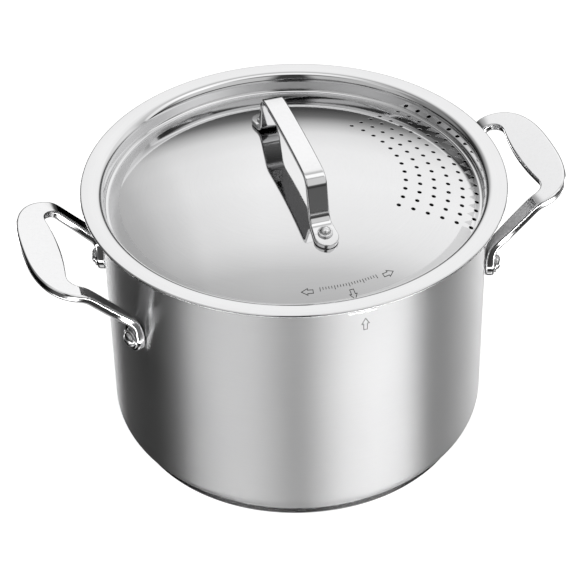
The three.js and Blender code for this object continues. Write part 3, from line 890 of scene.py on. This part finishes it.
def strap_line():
    """Half of the strap's middle line, from the bar to the tab's end, as (along Y, height)."""
    lift = SEAT_GAP + STRAP_THICKNESS / 2
    bar = DOME_TOP + STRAP_RISE - STRAP_THICKNESS / 2
    foot = STRAP_FOOT + STRAP_THICKNESS / 2
    corners = [
        Vector((0, bar + STRAP_ARCH)),
        Vector((STRAP_SHOULDER, bar)),
        Vector((foot, dome_height(foot) + lift)),
        Vector((STRAP_TAB_END, dome_height(STRAP_TAB_END) + lift)),
    ]
    line = []
    for i in range(STRAP_STEPS - 2):
        share = i / STRAP_STEPS
        line.append(Vector((STRAP_SHOULDER * share, bar + STRAP_ARCH * (1 - share**2))))
    for i, bend in ((1, STRAP_SHOULDER_BEND), (2, STRAP_BEND)):
        before = corners[i] + (corners[i - 1] - corners[i]).normalized() * bend
        after = corners[i] + (corners[i + 1] - corners[i]).normalized() * bend
        for k in range(STRAP_STEPS + 1):
            t = k / STRAP_STEPS
            line.append(before * (1 - t) ** 2 + corners[i] * 2 * t * (1 - t) + after * t**2)
    tab = STRAP_TAB_WIDTH / 2
    start = line[-1].x
    for k in range(1, 5):
        y = start + (STRAP_TAB_END - tab - start) * k / 4
        line.append(Vector((y, dome_height(y) + lift)))
    turn = math.radians(5.8)
    for k in range(1, 16):
        y = STRAP_TAB_END - tab + tab * math.sin(k * turn)
        line.append(Vector((y, dome_height(y) + lift)))
    return line


def strap_half_width(y):
    """Half of the strap's width, which grows to a round tab at its end."""
    tab = STRAP_TAB_WIDTH / 2
    neck, middle = STRAP_FOOT + STRAP_THICKNESS, STRAP_TAB_END - tab
    if y <= neck:
        return STRAP_WIDTH / 2
    if y <= middle:
        return STRAP_WIDTH / 2 + (tab - STRAP_WIDTH / 2) * (y - neck) / (middle - neck)
    return math.sqrt(max(0.0, tab**2 - (y - middle) ** 2))


def make_lid_handle():
    half = strap_line()
    line = [Vector((-p.x, p.y)) for p in half[:0:-1]] + half
    rings = []
    for i, point in enumerate(line):
        along = (line[min(i + 1, len(line) - 1)] - line[max(i - 1, 0)]).normalized()
        up = Vector((-along.y, along.x))
        half_width = max(STRAP_LEAST_HALF, strap_half_width(abs(point.x)))
        edge = min(STRAP_EDGE, half_width * STRAP_EDGE_SHARE)
        ring = []
        for w, n in rounded_section(half_width, STRAP_THICKNESS / 2, edge, edge):
            ring.append(Vector((w, point.x + up.x * n, point.y + up.y * n)))
        rings.append(ring)
    build = Builder()
    build.add_rings(rings)
    build.piece("lid_strap", strap_steel, "lid", ["lid_handle"], sharp=50)


# Marks: outlined arrows and a row of ticks, as thin solids on the steel


def arrow(length, head_length, head_width, shaft_width):
    """An outlined arrow along +V, about its middle."""
    low, neck, tip = -length / 2, length / 2 - head_length, length / 2
    shaft, head = shaft_width / 2, head_width / 2
    return [
        (-shaft, low), (shaft, low), (shaft, neck), (head, neck),
        (0.0, tip), (-head, neck), (-shaft, neck),
    ]


def outline(points, width):
    """Two loops on either side of a closed line of points."""
    outer, inner = [], []
    for i, p in enumerate(points):
        p = Vector(p)
        before = (p - Vector(points[i - 1])).normalized()
        after = (Vector(points[(i + 1) % len(points)]) - p).normalized()
        mitre = Vector((before.y + after.y, -before.x - after.x)).normalized()
        reach = width / 2 / max(MITRE_LEAST, mitre.dot(Vector((after.y, -after.x))))
        outer.append(p + mitre * reach)
        inner.append(p - mitre * reach)
    return outer, inner


def add_mark(build, points, width, place):
    """A closed line of points as a thin ring, set on a surface by place(point, height)."""
    outer, inner = outline(points, width)
    rings = [[place(p, h) for p in loop] for loop, h in (
        (outer, -MARK_SUNK), (outer, MARK_PROUD), (inner, MARK_PROUD), (inner, -MARK_SUNK),
        (outer, -MARK_SUNK),
    )]
    build.add_rings(rings, ends=False)


def on_lid(angle, radius, turn):
    """A place on the disc: (u, v) turned by turn about a point at that angle and radius."""
    def place(p, height):
        u = p[0] * math.cos(turn) - p[1] * math.sin(turn)
        v = p[0] * math.sin(turn) + p[1] * math.cos(turn)
        a = angle + u / radius
        r = radius + v
        return Vector((r * math.cos(a), r * math.sin(a), dome_height(r, -height)))
    return place


def on_pot(angle, middle):
    """A place on the wall, about a point at that angle and height."""
    def place(p, height):
        a = angle + p[0] / POT_RADIUS
        r = POT_RADIUS + height
        return Vector((r * math.cos(a), r * math.sin(a), middle + p[1]))
    return place


def make_marks():
    shape = arrow(**LID_ARROW)
    build = Builder()
    add_mark(build, shape, MARK_LINE, on_lid(MARK_ANGLE, MIDDLE_ARROW_ARC, 0))
    for way in (-1, 1):
        place = on_lid(MARK_ANGLE + way * SIDE_ARROW_ANGLE, SIDE_ARROW_ARC, -way * math.pi / 2)
        add_mark(build, shape, MARK_LINE, place)
    for i in range(-TICKS_EACH_WAY, TICKS_EACH_WAY + 1):
        tall = TICK_HEIGHT if i % TICKS_TO_A_LONG_ONE else LONG_TICK_HEIGHT
        half = TICK_HALF_WIDTH
        bar = [(-half, 0.0), (half, 0.0), (half, tall), (-half, tall)]
        add_mark(build, bar, TICK_LINE, on_lid(MARK_ANGLE + i * TICK_ANGLE, TICK_ARC, 0))
    build.piece("lid_marks", mark_ink, "lid", sharp=30)
    build = Builder()
    place = on_pot(MARK_ANGLE + POT_ARROW_ANGLE, POT_ARROW_HEIGHT)
    add_mark(build, arrow(**POT_ARROW), MARK_LINE, place)
    build.piece("pot_mark", mark_ink, "pot", sharp=30)


make_pot()
make_base()
make_lid()
make_lugs()
make_wire()
make_side_handle(-1, "left_grip", "left_handle")
make_side_handle(1, "right_grip", "right_handle")
make_rivets()
make_lid_handle()
make_marks()

# The core keeps its CAD shape, and only gets its metal
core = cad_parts["base_core"]
core.data.materials.clear()
core.data.materials.append(core_metal)


# Floor: white, with the pot's soft shadow


def seen_directly(nodes):
    """1 where the camera looks, also through something clear, and 0 for what is mirrored or lit."""
    path = nodes.add("ShaderNodeLightPath")
    return nodes.math("MAXIMUM", path.outputs["Is Camera Ray"], path.outputs["Is Transmission Ray"])


def make_floor():
    mesh = bpy.data.meshes.new("floor")
    corners = [(-1, -1), (1, -1), (1, 1), (-1, 1)]
    mesh.from_pydata([(x * FLOOR_REACH, y * FLOOR_REACH, FLOOR_HEIGHT) for x, y in corners],
                     [], [(0, 1, 2, 3)])
    material, nodes = new_material("floor_white")
    paint = nodes.add("ShaderNodeBsdfDiffuse", {"Color": grey(FLOOR_PAINT)})
    strength = nodes.math("MULTIPLY", seen_directly(nodes), FLOOR_GLOW)
    glow = nodes.add("ShaderNodeEmission", {"Color": grey(1.0), "Strength": strength})
    both = nodes.add("ShaderNodeAddShader", {0: paint.outputs[0], 1: glow.outputs[0]})
    nodes.add("ShaderNodeOutputMaterial", {"Surface": both.outputs[0]})
    mesh.materials.append(material)
    floor = bpy.data.objects.new("floor", mesh)
    bpy.context.scene.collection.objects.link(floor)
    floor.visible_glossy = False
    floor.visible_shadow = False
    floor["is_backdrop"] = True


make_floor()

# Studio: what the steel mirrors, and what lights the floor.
# Directions are taken as the camera sees them: to the side, to the rear, up.

# Panels all round by compass angle, 0 towards the camera and 90 to its right
PANELS = [
    (-180, 0.0), (-150, 0.32), (-140, 0.3), (-132, 0.14), (-125, 0.03), (-112, 0.02), (-100, 0.012),
    (-88, 0.014), (-80, 0.038), (-72, 0.094), (-64, 0.29), (-56, 0.43), (-41, 0.545), (-27, 0.5),
    (-4, 0.295), (4, 0.315), (14, 0.48), (27, 0.7), (41, 0.8), (52, 0.81), (60, 0.74), (66, 0.62),
    (72, 0.39), (81, 0.145), (92, 0.12), (103, 0.15), (118, 0.23), (133, 0.29), (143, 0.3),
    (156, 0.0), (180, 0.0),
]
PANEL_STRENGTH = 17.2
# How much of the panels is left by elevation: a bright strip below the horizon, over a dark floor
PANELS_BY_HEIGHT = [
    (-90, 0.11), (-68, 0.09), (-55, 0.008), (-37, 0.002), (-35, 0.1), (-33.5, 1.0), (-29.5, 1.0),
    (-27.5, 0.1), (-24, 0.012), (-18, 0.01), (-2, 0.008), (2, 0.002), (90, 0.001),
]
# Soft boxes overhead and behind, by angle over the top from the front horizon to the rear one
ARCH = [
    (0, 0.01), (66, 0.01), (72, 0.2), (76, 0.8), (84, 0.92), (97, 0.88), (103, 0.46), (107, 0.46),
    (114, 0.54), (117, 0.63), (120, 0.7), (123, 0.76), (128, 0.8), (142, 0.86), (153, 0.83),
    (160, 0.72), (164, 0.46), (168, 0.14), (172, 0.05), (180, 0.03),
]
ARCH_STRENGTH = 1.25
# How much of them is left to the side: they fade far to the left and a little to the right
ARCH_BY_SIDE = [
    (-1.0, 0.015), (-0.75, 0.03), (-0.66, 0.08), (-0.59, 0.28), (-0.44, 0.47), (-0.39, 0.54),
    (-0.35, 0.66), (-0.3, 0.76), (-0.26, 0.87), (-0.18, 0.93), (-0.08, 1.0), (0.5, 1.0),
    (0.62, 0.85), (0.75, 0.7), (1.0, 0.6),
]
# They end at the horizon, over this range of the direction's vertical part
HORIZON = (-0.03, 0.03)
# Soft boxes in front and at the sides, by compass angle, with a dark gap where the camera stands
BOXES = [
    (-180, 0.0), (-122, 0.0), (-108, 0.24), (-80, 0.22), (-70, 0.5), (-16, 0.55), (-8, 0.03),
    (8, 0.03), (16, 0.6), (66, 0.7), (76, 0.24), (112, 0.24), (130, 0.0), (180, 0.0),
]
# How much of them is left by elevation
BOXES_BY_HEIGHT = [
    (-90, 0.0), (4, 0.0), (12, 0.1), (18, 1.0), (55, 1.0), (68, 0.0), (90, 0.0),
]
BOX_STRENGTH = 1.0


def make_studio():
    world = bpy.data.worlds.new("studio")
    bpy.context.scene.world = world
    world.use_nodes = True
    nodes = Nodes(world.node_tree)
    way = nodes.add("ShaderNodeTexCoord").outputs["Generated"]
    turned = nodes.add("ShaderNodeVectorRotate", {
        "Vector": way, "Axis": (0, 0, 1), "Angle": math.radians(-CAMERA_AZIMUTH),
    }, rotation_type="AXIS_ANGLE")
    side, rear, up = nodes.add("ShaderNodeSeparateXYZ", {0: turned.outputs[0]}).outputs
    front = nodes.math("MULTIPLY", rear, -1.0)
    compass = nodes.math("MULTIPLY_ADD", nodes.math("ARCTAN2", side, front), 0.5 / math.pi, 0.5)
    height = nodes.math("MULTIPLY_ADD", nodes.math("ARCSINE", up), 1 / math.pi, 0.5)
    over = nodes.math("MULTIPLY", nodes.math("ARCTAN2", up, front), 1 / math.pi)
    sideways = nodes.math("MULTIPLY_ADD", side, 0.5, 0.5)

    def lamps(strength, *ramps):
        """The product of two ramps, each given as (value, its low end, its high end, stops)."""
        first, second = (
            nodes.ramp(value, [((at - low) / (high - low), level) for at, level in stops])
            for value, low, high, stops in ramps)
        both = nodes.vector_math("MULTIPLY", {0: first, 1: second})
        return nodes.vector_math("SCALE", {0: both, "Scale": strength})

    panels = lamps(PANEL_STRENGTH,
                   (compass, -180, 180, PANELS), (height, -90, 90, PANELS_BY_HEIGHT))
    arch = lamps(ARCH_STRENGTH,
                 (over, 0, 180, ARCH), (sideways, -1, 1, ARCH_BY_SIDE))
    boxes = lamps(BOX_STRENGTH,
                  (compass, -180, 180, BOXES), (height, -90, 90, BOXES_BY_HEIGHT))
    above = nodes.vector_math("SCALE", {0: arch, "Scale": nodes.map_range(up, *HORIZON)})
    raised = nodes.vector_math("ADD", {0: above, 1: boxes})
    mirrored = nodes.vector_math("ADD", {0: panels, 1: raised})
    # The vector sockets of the mix node have no names of their own: 4 and 5 in, 1 out
    shown = nodes.add("ShaderNodeMix", {
        "Factor": seen_directly(nodes), 4: mirrored, 5: (1, 1, 1),
    }, data_type="VECTOR")
    light = nodes.add("ShaderNodeBackground", {"Color": shown.outputs[1], "Strength": 1.0})
    nodes.add("ShaderNodeOutputWorld", {"Surface": light.outputs[0]})


make_studio()

# Camera


def make_camera():
    data = bpy.data.cameras.new("camera")
    data.lens = CAMERA_LENS
    data.sensor_width = CAMERA_SENSOR
    data.clip_end = CAMERA_FAR
    camera = bpy.data.objects.new("camera", data)
    bpy.context.scene.collection.objects.link(camera)
    angles = (CAMERA_AZIMUTH, CAMERA_ELEVATION, CAMERA_ROLL)
    azimuth, elevation, roll = (math.radians(angle) for angle in angles)
    side = Vector((math.cos(azimuth), math.sin(azimuth), 0))
    level = math.cos(elevation)
    back = Vector((math.sin(azimuth) * level, -math.cos(azimuth) * level, math.sin(elevation)))
    aim = side * CAMERA_AIM_SIDE + Vector((0, 0, CAMERA_AIM_HEIGHT))
    up = back.cross(side)
    right = side * math.cos(roll) + up * math.sin(roll)
    over = up * math.cos(roll) - side * math.sin(roll)
    turn = Matrix((right, over, back)).transposed().to_4x4()
    camera.matrix_world = Matrix.Translation(aim + back * CAMERA_DISTANCE) @ turn
    bpy.context.scene.camera = camera


make_camera()
bpy.context.scene.view_settings.view_transform = "Standard"

boxes = {"cad": cad_box, "visual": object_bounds()}
{name: [list(corner) for corner in box] for name, box in boxes.items()}
